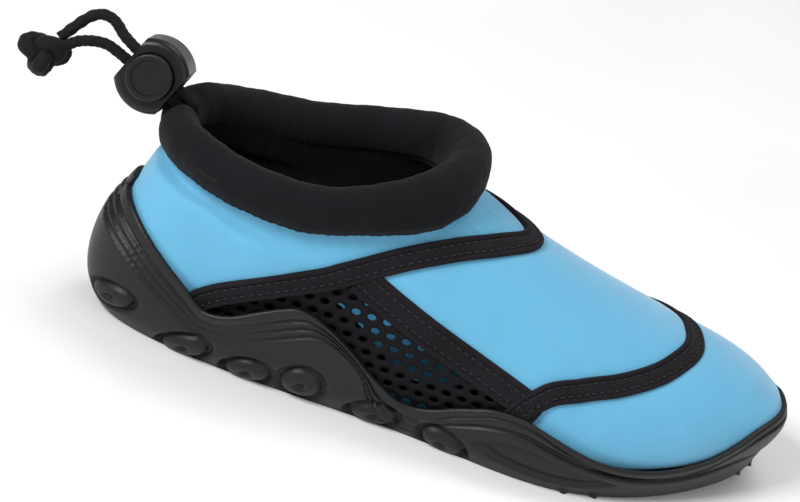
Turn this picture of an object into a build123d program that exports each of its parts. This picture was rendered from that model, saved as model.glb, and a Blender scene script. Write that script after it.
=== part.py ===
"""Right-foot water shoe: neoprene upper with trim and mesh, rubber cup sole, padded collar with drawcord and lock.

Designed with x from the heel towards the toe, y towards the inside of the foot and z up from the ground, then
moved so that the origin is under the middle of the shoe. All lengths are in millimetres.
"""
import math
import os

from build123d import *

# ---- sole outline, seen from above ----
LENGTH = 200.0
HEEL_HALF = 29.2
WAIST_HALF = 29.7
BALL_HALF = 38.1
TOE_HALF = 37.2
WAIST_SHIFT = -1.6
BALL_SHIFT = -2.0
TOE_SHIFT = 10.8
NOSE_ROUND = 0.78
TAIL_ROUND = 0.80
TOE_SPRING = 5.4
SPRING_START = 0.68 * LENGTH

# ---- collar loop, the centre line of the padded roll ----
COLLAR_BACK = 12.5
COLLAR_FRONT = 88.5
COLLAR_HALF = 25.6
COLLAR_ROUND_FRONT = 0.90
COLLAR_ROUND_BACK = 0.84
COLLAR_Z_BACK = 57.0
COLLAR_Z_MIDDLE = 56.6
COLLAR_Z_FRONT = 69.5
ROLL_THICK = 5.3
ROLL_HIGH = 6.4
ROLL_THICK_FRONT = 6.2
ROLL_HIGH_FRONT = 8.2

# ---- upper, between the feather line and the collar ----
FEATHER_IN = 3.0
FEATHER_Z = 10.0
COLLAR_TUCK = 3.8
SIDE_BULGE = 4.0
TOE_BULGE = 1.6
SIDE_RISE = 15.8
TOE_RISE = 21.3
HEEL_RISE = 20.0
RIDGE_LENGTH = 47.7
RIDGE_SLOPE = 0.50
COLLAR_FLARE = 3.0
COLLAR_DROP = 14.0

# ---- layers ----
NEOPRENE = 2.4
LINING = 0.9
MESH = 1.3
TRIM = 0.9
CUP_WALL = 2.3
SOLE_BASE = 6.0
STROBEL = 1.2
FOOTBED = 3.0

# ---- seams and edges, as (x, z) lines seen from the side ----
TRIM_WIDTH = 6.0
SIDE_TRIM_WIDTH = 8.0
UPPER_TRIM_LINE = [
    (26, 8), (33, 21.3), (43, 28.9), (57, 38.3), (73, 46.8), (91, 53.2), (104, 55.6), (110, 58), (111.5, 66),
]
VAMP_TRIM_LINE = [
    (114, 8), (119, 21.8), (124, 26.2), (134, 29.3), (145, 30.9), (156, 33), (164, 35.8), (167.6, 40), (168, 50),
]
SIDE_TRIM_LINE = [(66, 43.5), (88, 34.2), (107, 27.9), (122, 22.5)]
RIM_LINE = [
    (-6, 42), (6, 39), (12.5, 30.5), (19, 26.2), (25, 22.6), (32, 19.2), (39, 21), (47, 25.6), (56, 29.6),
    (64, 27.2), (72, 22.6), (81, 16), (89, 11.8), (96, 13), (103.5, 16.8), (112, 20.6), (121, 20.4), (132, 17.1),
    (146, 13), (158, 11.4), (171, 11.8), (181, 13.6), (190, 17), (198, 21.5), (208, 25),
]
GROUND_LINE = [(-6, 11), (2, 5), (9, 1.2), (18, 0)]
TIP_LINE = [(SPRING_START, 0), (164, 1.0), (184, 3.0), (LENGTH + 8, 6.4)]
# height, then how far the wall stands in from the outline at the heel and at the toe
TREAD_LEVELS = [(0, 8.0, 4.0), (4, 4.2, 1.6), (9, 1.4, 0.1)]
GROOVE_DEPTH = 1.6
GROOVE_WIDTH = 2.4
GROOVE_COUNT = 11
GROOVE_START = 26.0
GROOVE_TURN = 6.0
ARCH_START = 70.0
ARCH_END = 100.0

# ---- drawcord and its lock ----
CORD = 3.0
CORD_SIDE = 1.65
CORD_CLEAR = 0.35
CHANNEL_RADIUS = 3.0
EYELET = (14.0, 6.0)
EYELET_FORWARD = 1.8
LOCK_CENTRE = Vector(2.5, 3.3, 66.7)
LOCK_ALONG = Vector(-0.893, 0.297, 0.338).normalized()
LOCK_PRESS = Vector(0.221, 0.943, -0.243).normalized()
LOCK_RADIUS = 10.0
LOCK_FLAT = 7.2
LOCK_FRONT = 5.4
LOCK_BACK = 8.6
LOCK_ROUND = 2.0
LOCK_CLEAR = 0.4
BORE_FLOOR = 1.4
BORE_CLEAR = 0.25
BUTTON_RADIUS = 6.2
BUTTON_PROUD = 2.6
BUTTON_FOOT = 3.0
BUTTON_TRAVEL = 2.0
BUTTON_DISH = 0.5
SPRING_RADIUS = 3.8
SPRING_WIRE = 0.5
SPRING_TURNS = 3.5
STRAND_START = -7.0
EXIT_RUN = (-14.5, -5.5)
KNOT_CENTRE = Vector(-26.5, 7.2, 62.0)
KNOT_SIZE = (7.0, 5.6, 5.9)

# ---- construction ----
RING_POINTS = 36
ROLL_STEPS = 10
UPPER_LEVELS = [0.0, 0.12, 0.26, 0.42, 0.58, 0.74, 0.88, 1.0]
BELOW = -4.0
LIFT = 4.0
TOP_PLANE = 92.0
TOP_STEP = 6.0
FAR = 300.0
SLIVER = 20.0


# ---- curves shared by every layer ----
def smooth(x, xs, ys):
    """A smooth line through the given points, held level beyond its ends."""
    x = min(max(x, xs[0]), xs[-1])
    steps = [b - a for a, b in zip(xs, xs[1:])]
    slopes = [(d - c) / s for c, d, s in zip(ys, ys[1:], steps)]
    inner = [(s1 * d0 + s0 * d1) / (s0 + s1) for s0, s1, d0, d1 in zip(steps, steps[1:], slopes, slopes[1:])]
    tangents = [slopes[0]] + inner + [slopes[-1]]
    i = max(k for k in range(len(steps)) if x >= xs[k])
    h = steps[i]
    t = (x - xs[i]) / h
    rise = (2 * t**3 - 3 * t**2 + 1) * ys[i] + (3 * t**2 - 2 * t**3) * ys[i + 1]
    return rise + h * ((t**3 - 2 * t**2 + t) * tangents[i] + (t**3 - t**2) * tangents[i + 1])


def signed_power(value, power):
    """value raised to a power, keeping its sign."""
    return math.copysign(abs(value) ** power, value)


def toe_spring(x):
    """How far the sole has lifted off the ground at x."""
    return TOE_SPRING * min(max((x - SPRING_START) / (LENGTH - SPRING_START), 0), 1.1) ** 2


def outline(u, grow):
    """A point of the sole outline at angle u from the toe, grown outwards."""
    x = LENGTH / 2 + (LENGTH / 2 + grow) * math.cos(u)
    stations = [0, 0.14 * LENGTH, 0.45 * LENGTH, 0.70 * LENGTH, 0.88 * LENGTH, LENGTH]
    half = smooth(x, stations, [0.97 * HEEL_HALF, HEEL_HALF, WAIST_HALF, BALL_HALF, TOE_HALF, 0.9 * TOE_HALF])
    shift = smooth(x, [0, 0.45 * LENGTH, 0.70 * LENGTH, LENGTH], [0, WAIST_SHIFT, BALL_SHIFT, TOE_SHIFT])
    front = 0.5 + 0.5 * math.cos(u)
    power = TAIL_ROUND * (1 - front) + NOSE_ROUND * front
    return x, shift + (half + grow) * signed_power(math.sin(u), power)


def collar(u):
    """A point of the collar's centre line at angle u from its front."""
    middle = (COLLAR_BACK + COLLAR_FRONT) / 2
    x = middle + (COLLAR_FRONT - COLLAR_BACK) / 2 * math.cos(u)
    front = 0.5 + 0.5 * math.cos(u)
    power = COLLAR_ROUND_BACK * (1 - front) + COLLAR_ROUND_FRONT * front
    y = COLLAR_HALF * signed_power(math.sin(u), power)
    z = smooth(x, [COLLAR_BACK, middle, COLLAR_FRONT], [COLLAR_Z_BACK, COLLAR_Z_MIDDLE, COLLAR_Z_FRONT])
    return Vector(x, y, z)


def level_normal(curve, u):
    """The level outward normal of a closed plan curve."""
    step = 1e-3
    ahead = curve(u + step)
    behind = curve(u - step)
    return Vector(ahead[1] - behind[1], behind[0] - ahead[0], 0).normalized()


def upper(u, h):
    """A point of the upper's outer surface, from the feather line (h = 0) to the collar (h = 1)."""
    x, y = outline(u, -FEATHER_IN)
    low = Vector(x, y, FEATHER_Z + toe_spring(x))
    top = collar(u) - Vector(0, 0, COLLAR_TUCK)
    out = level_normal(lambda a: outline(a, -FEATHER_IN), u)
    front = max(math.cos(u), 0)
    back = max(-math.cos(u), 0)
    side = 1 - front**2 - back**2
    bulge = SIDE_BULGE * (side + back**2) + TOE_BULGE * front**2
    rise = SIDE_RISE * side + TOE_RISE * front**2 + HEEL_RISE * back**2
    first = low + out * bulge + Vector(0, 0, rise)
    ridge = RIDGE_LENGTH * front**1.5
    level = 1 - front
    second = top + Vector(ridge, 0, -ridge * RIDGE_SLOPE - COLLAR_DROP * level) + out * (COLLAR_FLARE * level)
    g = 1 - h
    return low * g**3 + first * (3 * g * g * h) + second * (3 * g * h * h) + top * h**3


def upper_normal(u, h):
    """The outward normal of the upper's surface."""
    step = 1e-3
    low = max(h - step, 0)
    high = min(h + step, 1)
    around = upper(u + step, h) - upper(u - step, h)
    return around.cross(upper(u, high) - upper(u, low)).normalized()


# ---- solids from rings ----
ANGLES = [2 * math.pi * i / RING_POINTS for i in range(RING_POINTS)]


def ring(points):
    """A closed smooth wire through the points."""
    return Wire([Spline(*points, periodic=True)])


def outline_ring(z, grow):
    """A level ring of the sole outline; grow is a number or a function of the angle."""
    points = []
    for u in ANGLES:
        x, y = outline(u, grow(u) if callable(grow) else grow)
        points.append(Vector(x, y, z))
    return ring(points)


def upper_ring(h, out):
    """A ring of the upper's surface, moved outwards along its normal."""
    return ring([upper(u, h) + upper_normal(u, h) * out for u in ANGLES])


def collar_ring(out, height=None, lift=0.0):
    """A ring above the collar's centre line, level where a height is given."""
    points = []
    for u in ANGLES:
        p = collar(u) + level_normal(lambda a: tuple(collar(a)), u) * out
        points.append(Vector(p.X, p.Y, p.Z + lift if height is None else height))
    return ring(points)


def top_rings(out, height):
    """The rings that carry a body on from just above the collar up to a level top."""
    near = [collar_ring(out, lift=LIFT), collar_ring(out, height=TOP_PLANE - TOP_STEP)]
    return near + [collar_ring(out, height=height)]


def upper_body(out):
    """The solid inside the upper's surface moved outwards by out, run on past the collar and the sole."""
    low = [outline_ring(out + BELOW, out - FEATHER_IN)]
    return Solid.make_loft(low + [upper_ring(h, out) for h in UPPER_LEVELS] + top_rings(out, TOP_PLANE - out))


def tread_recess(heel, toe):
    """How far the tread stands in from the outline, more at the heel than at the toe."""
    return lambda u: -toe - (heel - toe) * (0.5 - 0.5 * math.cos(u)) ** 2


def sole_body():
    """The sole's outer form, closed up past the rim."""
    low = [outline_ring(z, tread_recess(heel, toe)) for z, heel, toe in TREAD_LEVELS]
    high = [upper_ring(h, CUP_WALL) for h in UPPER_LEVELS[1:]]
    return Solid.make_loft(low + high + top_rings(CUP_WALL, TOP_PLANE))


def side_prism(edges):
    """A prism across the shoe whose side view is bounded by the edges, given in order in the XZ plane."""
    face = Face(Wire(edges)).moved(Location((0, -FAR / 2, 0)))
    return Solid.extrude(face, Vector(0, FAR, 0))


def flat(points):
    """(x, z) pairs as points of the side view."""
    return [Vector(x, 0, z) for x, z in points]


def region(line, corners):
    """A prism bounded by a smooth line and then by straight edges through the corners back to its start."""
    points = flat(line)
    return side_prism([Spline(*points), *Polyline(points[-1], *flat(corners), points[0]).edges()])


def offset_line(line, distance):
    """The line's points moved sideways, to the left of its direction."""
    moved = []
    for i, (x, z) in enumerate(line):
        before = line[max(i - 1, 0)]
        after = line[min(i + 1, len(line) - 1)]
        run = math.hypot(after[0] - before[0], after[1] - before[1])
        moved.append((x - distance * (after[1] - before[1]) / run, z + distance * (after[0] - before[0]) / run))
    return moved


def band(line, width):
    """A prism whose side view is a strip of that width along the line."""
    left = flat(offset_line(line, width / 2))
    right = flat(offset_line(line, -width / 2))[::-1]
    return side_prism([Spline(*left), Line(left[-1], right[0]), Spline(*right), Line(right[-1], left[0])])


def above_floor(height):
    """Everything higher than the sole's floor raised by height, which lifts with the toe spring."""
    stations = [-20, 60, SPRING_START] + [SPRING_START + 16 * k for k in range(1, 6)]
    line = [(x, height + toe_spring(x)) for x in stations[2:]]
    corners = [(FAR, line[-1][1]), (FAR, 150), (-20, 150), (-20, height)]
    return region(line, corners)


def joined(solids):
    """One solid, or several as a group."""
    return solids[0] if len(solids) == 1 else Compound(solids)


def common(shape, *tools):
    """What the shape shares with every tool."""
    for tool in tools:
        shape = joined(shape.intersect(tool).solids())
    return shape


def only(shape, keep=lambda solid: True):
    """The solids of a shape that are more than slivers and that pass the test."""
    return joined([s for s in shape.solids() if s.volume > SLIVER and keep(s)])


# ---- padded collar roll and the cord tunnel inside it ----
def roll_section(u, size=None):
    """The roll's oval section at angle u, or a round one of the given radius."""
    centre = collar(u)
    out = level_normal(lambda a: tuple(collar(a)), u)
    front = (0.5 + 0.5 * math.cos(u)) ** 3
    thick = size or ROLL_THICK + (ROLL_THICK_FRONT - ROLL_THICK) * front
    high = size or ROLL_HIGH + (ROLL_HIGH_FRONT - ROLL_HIGH) * front
    section = Plane(centre, x_dir=out, z_dir=out.cross(Vector(0, 0, 1)))
    return Wire([Edge.make_ellipse(thick, high, section)])


def roll_half(start, size=None):
    """Half of the roll, or of the channel inside it, from angle start onwards."""
    angles = [start + math.pi * k / ROLL_STEPS for k in range(ROLL_STEPS + 1)]
    return Solid.make_loft([roll_section(u, size) for u in angles])


def cord_path(points):
    """Straight runs joined by tangent arcs as large as the runs allow."""
    radii = []
    for a, b, c in zip(points, points[1:], points[2:]):
        turn = math.radians((b - a).get_angle(c - b))
        radii.append(0.45 * min((b - a).length, (c - b).length) / math.tan(turn / 2))
    print("cord radii", [round(r, 1) for r in radii])
    return FilletPolyline(*points, radius=radii)


def tube(path, radius):
    """A round tube along a path."""
    wire = Wire(path.edges())
    start = Plane(wire.position_at(0), z_dir=wire.tangent_at(0))
    solid = Solid.sweep(Wire([Edge.make_circle(radius, start)]), path=wire)
    ratio = solid.volume / (math.pi * radius**2 * wire.length)
    print("tube", round(wire.length, 1), "mm long, volume ratio", round(ratio, 3))
    return solid


LOCK_ACROSS = LOCK_PRESS.cross(LOCK_ALONG)
LOCK_FRAME = Plane(LOCK_CENTRE, x_dir=LOCK_ALONG, z_dir=-LOCK_PRESS)


def strand_point(along, side):
    """A point on a strand's straight stretch through the lock: side is 1 for the upper strand, -1 for the lower."""
    return LOCK_CENTRE + LOCK_ALONG * along + LOCK_ACROSS * (side * CORD_SIDE)


LOOP_ANGLES = [150, 126, 102, 78, 54, 28, 0, -28, -54, -78, -102, -126, -150]


def loop_points():
    """The drawcord's route round the inside of the roll, from the upper strand's end to the lower strand's."""
    start = [strand_point(STRAND_START, 1), strand_point(-13.5, 1), Vector(15.2, 5.0, 58.2)]
    finish = [Vector(14.6, -5.6, 57.4), strand_point(-12.5, -1), strand_point(STRAND_START, -1)]
    return start + [collar(math.radians(a)) for a in LOOP_ANGLES] + finish


UPPER_STRAND = [
    strand_point(STRAND_START, 1), strand_point(11.2, 1), Vector(-10.9, 9.4, 76.0), Vector(-15.3, 11.0, 75.9),
    Vector(-19.2, 10.7, 72.4), Vector(-23.4, 8.8, 66.6),
]
LOWER_STRAND = [
    strand_point(STRAND_START, -1), strand_point(12.4, -1), Vector(-13.2, 7.0, 69.7), Vector(-17.0, 6.9, 68.9),
    Vector(-20.4, 6.6, 67.3), Vector(-23.0, 5.6, 64.2),
]


# ---- the layers of the shoe, each cut from nested bodies ----
outer = upper_body(0.0)
middle = upper_body(-NEOPRENE)
inner = upper_body(-NEOPRENE - LINING)
roll = roll_half(0).fuse(roll_half(math.pi))

COLLAR_LINE = [
    (-20, COLLAR_Z_BACK), (COLLAR_BACK, COLLAR_Z_BACK), (50, COLLAR_Z_MIDDLE), (COLLAR_FRONT, COLLAR_Z_FRONT), (97, 71),
]
below_collar = region(COLLAR_LINE, [(97, 90), (FAR, 90), (FAR, -20), (-20, -20)])
below_rim = region(RIM_LINE, [(FAR, 25), (FAR, -20), (-20, -20), (-20, 42)])
above_ground = region(GROUND_LINE, TIP_LINE + [(FAR, 150), (-20, 150), (-20, 11)])
above_sole = above_floor(SOLE_BASE)
above_strobel = above_floor(SOLE_BASE + STROBEL)
above_footbed = above_floor(SOLE_BASE + STROBEL + FOOTBED)

quarter_side = region(UPPER_TRIM_LINE, [(111.5, 150), (-50, 150), (-50, -20), (26, -20)])
toe_side = region(VAMP_TRIM_LINE, [(168, 150), (FAR, 150), (FAR, -20), (114, -20)])
mesh_side = region(SIDE_TRIM_LINE, [(122, -20), (20, -20), (20, 43.5)]).cut(quarter_side).cut(toe_side)


def on_lateral(solid):
    return solid.center().Y < 0


def on_medial(solid):
    return solid.center().Y > 0


def outsole():
    """The rubber cup: tread, side wall and rim, hollowed for the upper and grooved underneath."""
    cup = common(sole_body(), below_rim, above_ground).cut(common(outer, above_sole))
    for i in range(GROOVE_COUNT):
        x = GROOVE_START + i * (LENGTH - 2 * GROOVE_START) / (GROOVE_COUNT - 1)
        groove = Box(GROOVE_WIDTH, 3 * BALL_HALF, 2 * GROOVE_DEPTH)
        if not ARCH_START < x < ARCH_END:
            cup = cup.cut(Pos(x, 0, toe_spring(x)) * Rot(0, 0, GROOVE_TURN) * groove)
    return only(cup)


def upper_panels():
    """The neoprene shell, parted along the trims, with thinner mesh at the sides."""
    shell = common(outer.cut(middle), above_sole, below_collar).cut(roll)
    front = shell.cut(quarter_side)
    mesh = common(outer.cut(upper_body(-MESH)), above_sole, mesh_side)
    return {
        "quarter_panel": only(common(shell, quarter_side)),
        "vamp_panel": only(front.cut(toe_side).cut(mesh_side)),
        "toe_panel": only(common(front, toe_side)),
        "mesh_panel_lateral": only(mesh, on_lateral),
        "mesh_panel_medial": only(mesh, on_medial),
    }


def inside_layers():
    """The knit lining with its windows behind the mesh, the strobel sock and the footbed."""
    lining = common(middle.cut(inner), above_strobel, below_collar).cut(roll).cut(mesh_side)
    return {
        "lining": only(lining),
        "strobel_sock": only(common(middle, above_sole).cut(above_strobel)),
        "footbed": only(common(inner, above_strobel).cut(above_footbed)),
    }


def trims():
    """Flat raised tapes along the seams, standing on the shell above the rim."""
    layer = common(upper_body(TRIM).cut(outer).cut(below_rim), below_collar).cut(roll)
    upper_band = band(UPPER_TRIM_LINE, TRIM_WIDTH)
    vamp_band = band(VAMP_TRIM_LINE, TRIM_WIDTH).cut(upper_band)
    side_band = band(SIDE_TRIM_LINE, SIDE_TRIM_WIDTH).cut(upper_band).cut(vamp_band).cut(quarter_side).cut(toe_side)
    side = common(layer, side_band)
    return {
        "trim_upper": only(common(layer, upper_band)),
        "trim_vamp": only(common(layer, vamp_band)),
        "trim_side_lateral": only(side, on_lateral),
        "trim_side_medial": only(side, on_medial),
    }


def collar_binding():
    """The padded roll, hollow for the drawcord, with an eyelet for its two strands and a dent for the lock."""
    halves = [roll_half(start).cut(roll_half(start, CHANNEL_RADIUS)) for start in (0, math.pi)]
    binding = halves[0].fuse(halves[1])
    slot = extrude(SlotOverall(*EYELET, rotation=90), 2 * ROLL_HIGH)
    binding = binding.cut(Pos(COLLAR_BACK + EYELET_FORWARD, 0, COLLAR_Z_BACK) * slot)
    low, high = EXIT_RUN
    for side in (1, -1):
        run = Plane(strand_point(low, side), z_dir=LOCK_ALONG)
        binding = binding.cut(run.location * extrude(Circle(CORD / 2 + CORD_CLEAR), high - low))
    return only(binding.cut(LOCK_FRAME.location * barrel_blank(LOCK_CLEAR)))


def drawcord():
    """The elastic cord round the collar, its two free strands and the knot that joins them."""
    upper_strand = tube(cord_path(UPPER_STRAND), CORD / 2)
    lower_strand = tube(cord_path(LOWER_STRAND), CORD / 2)
    knot = Pos(KNOT_CENTRE) * scale(Sphere(1), by=KNOT_SIZE)
    return {
        "drawcord_loop": tube(cord_path(loop_points()), CORD / 2),
        "cord_upper_strand": upper_strand,
        "cord_lower_strand": lower_strand,
        "cord_knot": only(knot.cut(upper_strand).cut(lower_strand)),
    }


def barrel_blank(grow):
    """The lock's barrel before its bore and slot, with two flats across the cords; grow adds to every side."""
    barrel = Pos(0, 0, -LOCK_BACK - grow) * extrude(Circle(LOCK_RADIUS + grow), LOCK_FRONT + LOCK_BACK + 2 * grow)
    barrel = fillet(barrel.edges(), LOCK_ROUND)
    return barrel & Box(2 * (LOCK_FLAT + grow), 3 * LOCK_RADIUS, 3 * LOCK_RADIUS)


def cord_lock():
    """The barrel with its bore and cord slot, the button with its own slot, and the spring under it."""
    slot_side = CORD_SIDE + CORD / 2 + CORD_CLEAR
    slot_half = CORD / 2 + CORD_CLEAR
    barrel = barrel_blank(0)
    bore_end = BORE_FLOOR - LOCK_BACK
    barrel -= Pos(0, 0, bore_end) * extrude(Circle(BUTTON_RADIUS + BORE_CLEAR), 3 * LOCK_BACK)
    barrel -= Box(3 * LOCK_RADIUS, 2 * slot_side, 2 * slot_half)
    top = LOCK_FRONT + BUTTON_PROUD
    button = Pos(0, 0, -BUTTON_FOOT) * extrude(Circle(BUTTON_RADIUS), top + BUTTON_FOOT)
    button = fillet(button.edges().sort_by(Axis.Z)[-1], BUTTON_DISH)
    button -= Pos(0, 0, top - BUTTON_DISH) * extrude(Circle(0.76 * BUTTON_RADIUS), 1)
    button -= Pos(0, 0, BUTTON_TRAVEL / 2) * Box(3 * LOCK_RADIUS, 2 * slot_side, 2 * slot_half + BUTTON_TRAVEL)
    room = -BUTTON_FOOT - bore_end - SPRING_WIRE - 2 * BORE_CLEAR
    coil = Helix(pitch=room / SPRING_TURNS, height=room, radius=SPRING_RADIUS)
    section = Plane(coil @ 0, z_dir=coil % 0) * Circle(SPRING_WIRE / 2)
    spring = Pos(0, 0, bore_end + SPRING_WIRE / 2 + BORE_CLEAR) * sweep(section, path=coil)
    place = LOCK_FRAME.location
    return {"lock_body": place * barrel, "lock_button": place * button, "lock_spring": place * spring}


# ---- every piece, moved so that the origin is under the middle of the shoe ----
def middle_of_width():
    """The y midway between the sole's widest points."""
    across = [outline(u, 0)[1] for u in ANGLES]
    return (max(across) + min(across)) / 2


NODES = {
    "outsole": outsole(),
    **inside_layers(),
    **upper_panels(),
    **trims(),
    "collar_binding": collar_binding(),
    **drawcord(),
    **cord_lock(),
}

os.makedirs("parts", exist_ok=True)
for name, shape in NODES.items():
    solid = Pos(-LENGTH / 2, -middle_of_width(), 0) * shape
    export_step(solid, f"parts/{name}.step")
    print(name, len(solid.solids()), "solids", round(solid.volume), "mm3")
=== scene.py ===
"""Looks of the water shoe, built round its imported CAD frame.

Shapes are worked out in millimetres, with x from the heel towards the toe, y towards the inside of the foot
and z up, by the same kind of formulas as the CAD solids. piece() then puts them in the frame, in metres.
"""
import math

import bpy
import numpy as np
from mathutils import Matrix, Vector


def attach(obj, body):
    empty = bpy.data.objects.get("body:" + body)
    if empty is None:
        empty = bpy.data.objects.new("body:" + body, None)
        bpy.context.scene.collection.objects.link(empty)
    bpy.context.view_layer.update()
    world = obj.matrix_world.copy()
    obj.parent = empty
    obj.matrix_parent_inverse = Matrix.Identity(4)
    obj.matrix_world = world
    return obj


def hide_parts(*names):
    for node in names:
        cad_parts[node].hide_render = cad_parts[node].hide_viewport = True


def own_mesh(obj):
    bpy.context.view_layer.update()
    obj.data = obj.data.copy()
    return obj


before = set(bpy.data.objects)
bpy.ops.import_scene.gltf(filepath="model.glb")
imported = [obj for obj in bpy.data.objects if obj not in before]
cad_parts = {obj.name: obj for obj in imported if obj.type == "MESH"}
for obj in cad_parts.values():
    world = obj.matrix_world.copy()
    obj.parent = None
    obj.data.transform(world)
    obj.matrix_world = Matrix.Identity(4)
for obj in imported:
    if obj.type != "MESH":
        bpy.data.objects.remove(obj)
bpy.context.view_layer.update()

UP = np.array([0.0, 0.0, 1.0])
FORWARD = np.array([1.0, 0.0, 0.0])

# ---- sizes shared with the CAD model ----
LENGTH = 200.0
HEEL_HALF = 29.2
WAIST_HALF = 29.7
BALL_HALF = 38.1
TOE_HALF = 37.2
WAIST_SHIFT = -1.6
BALL_SHIFT = -2.0
TOE_SHIFT = 10.8
NOSE_ROUND = 0.78
TAIL_ROUND = 0.80
TOE_SPRING = 5.4
SPRING_START = 0.68 * LENGTH
COLLAR_BACK = 12.5
COLLAR_FRONT = 88.5
COLLAR_HALF = 25.6
COLLAR_ROUND_FRONT = 0.90
COLLAR_ROUND_BACK = 0.84
COLLAR_Z = (57.0, 56.6, 69.5)
ROLL_THICK = (5.3, 6.2)
ROLL_HIGH = (6.4, 8.2)
FEATHER_IN = 3.0
FEATHER_Z = 10.0
COLLAR_TUCK = 3.8
SIDE_BULGE = 4.0
TOE_OUT = 2.4
TOE_FULLNESS = 4.1
SIDE_RISE = 15.8
TOE_RISE = 20.3
HEEL_RISE = 20.0
RIDGE_LENGTH = 50.0
RIDGE_SLOPE = 0.515
COLLAR_FLARE = 3.0
COLLAR_DROP = 14.0
FULLNESS_PEAK = 5**5 / 4**4
CUP_WALL = 2.3
RIM_DIP = 7.0
RIM_HEEL = 3.5
CORD = 3.0
CORD_SIDE = 1.65

# seams and edges as (x, z) lines seen from the side; an apex is the x at which a seam crosses the ridge
UPPER_SEAM = [(26, 8), (31.5, 21), (40, 27.8), (53, 36), (64, 42.8), (75.5, 49), (88, 53.4), (102, 55.6)]
UPPER_APEX = 113
VAMP_SEAM = [(114, 8), (119, 21.8), (124, 26.4), (134, 29.3), (145, 31.2), (155, 33.5), (163.5, 36.2)]
VAMP_APEX = 167.6
SIDE_SEAM = [(67, 42.6), (88, 34.2), (107, 27.9), (124, 21.8)]
RIM_LINE = [
    (-6, 40), (3, 37), (8, 33.6), (12.5, 30.4), (19, 26.2), (25, 22.8), (32, 19.2), (39, 21), (47, 25.6),
    (56, 29.6), (64, 27.2), (72, 22.4), (81, 15.5), (89, 11.2), (96, 12), (103.5, 16.2), (112, 20.2),
    (121, 20.4), (132, 17.2), (146, 13), (159, 11.4), (171, 12.2), (180, 14.8), (186, 18.8), (191, 22.6),
    (197, 24.6), (208, 25.4),
]
GROUND_LINE = [(-6, 11), (2, 5), (9, 1.2), (18, 0), (60, 0), (136, 0), (164, 1.0), (184, 3.0), (208, 6.4)]


# ---- curves shared by every layer ----
def smooth(x, xs, ys):
    """A smooth line through the given points, held level beyond its ends."""
    x = np.clip(x, xs[0], xs[-1])
    xs = np.array(xs, float)
    ys = np.array(ys, float)
    slopes = np.gradient(ys, xs)
    i = np.clip(np.searchsorted(xs, x, side="right") - 1, 0, len(xs) - 2)
    step = xs[i + 1] - xs[i]
    t = (x - xs[i]) / step
    rise = (2 * t**3 - 3 * t**2 + 1) * ys[i] + (3 * t**2 - 2 * t**3) * ys[i + 1]
    return rise + step * ((t**3 - 2 * t**2 + t) * slopes[i] + (t**3 - t**2) * slopes[i + 1])


def on_line(x, line):
    """The height of an (x, z) line at x."""
    return smooth(x, [p[0] for p in line], [p[1] for p in line])


def rim_height(x, u):
    """The height of the rubber's rim, lower on the toe's inner side and higher behind the heel."""
    dip = RIM_DIP * np.exp(-(((u - 0.38) / 0.22) ** 2))
    heel = RIM_HEEL * np.exp(-(((u - 2.95) / 0.35) ** 2))
    return on_line(x, RIM_LINE) - dip + heel


def signed_power(value, power):
    """A power that keeps the value's sign."""
    return np.sign(value) * np.abs(value) ** power


def toe_spring(x):
    """How far the sole has lifted off the ground at x."""
    return TOE_SPRING * np.clip((x - SPRING_START) / (LENGTH - SPRING_START), 0, 1.1) ** 2


def outline(u, grow=0.0):
    """A point of the sole outline at angle u from the toe, grown outwards, at height 0."""
    x = LENGTH / 2 + (LENGTH / 2 + grow) * np.cos(u)
    stations = [0, 0.14 * LENGTH, 0.45 * LENGTH, 0.70 * LENGTH, 0.88 * LENGTH, LENGTH]
    half = smooth(x, stations, [0.97 * HEEL_HALF, HEEL_HALF, WAIST_HALF, BALL_HALF, TOE_HALF, 0.9 * TOE_HALF])
    shift = smooth(x, [0, 0.45 * LENGTH, 0.70 * LENGTH, LENGTH], [0, WAIST_SHIFT, BALL_SHIFT, TOE_SHIFT])
    front = 0.5 + 0.5 * np.cos(u)
    power = TAIL_ROUND * (1 - front) + NOSE_ROUND * front
    y = shift + (half + grow) * signed_power(np.sin(u), power)
    return np.stack([x, y, 0 * x], -1)


def collar(u):
    """A point of the collar's centre line at angle u from its front."""
    middle = (COLLAR_BACK + COLLAR_FRONT) / 2
    x = middle + (COLLAR_FRONT - COLLAR_BACK) / 2 * np.cos(u)
    front = 0.5 + 0.5 * np.cos(u)
    power = COLLAR_ROUND_BACK * (1 - front) + COLLAR_ROUND_FRONT * front
    y = COLLAR_HALF * signed_power(np.sin(u), power)
    return np.stack([x, y, smooth(x, [COLLAR_BACK, middle, COLLAR_FRONT], COLLAR_Z)], -1)


def unit(v):
    return v / np.linalg.norm(v, axis=-1, keepdims=True)


def level_normal(curve, u):
    """The level outward normal of a closed plan curve."""
    run = curve(u + 1e-3) - curve(u - 1e-3)
    return unit(np.stack([run[..., 1], -run[..., 0], 0 * run[..., 0]], -1))


def feather(u):
    """A point of the feather line in plan, where the upper meets the sole."""
    return outline(u, TOE_OUT * np.clip(np.cos(u), 0, 1) ** 4 - FEATHER_IN)


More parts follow.
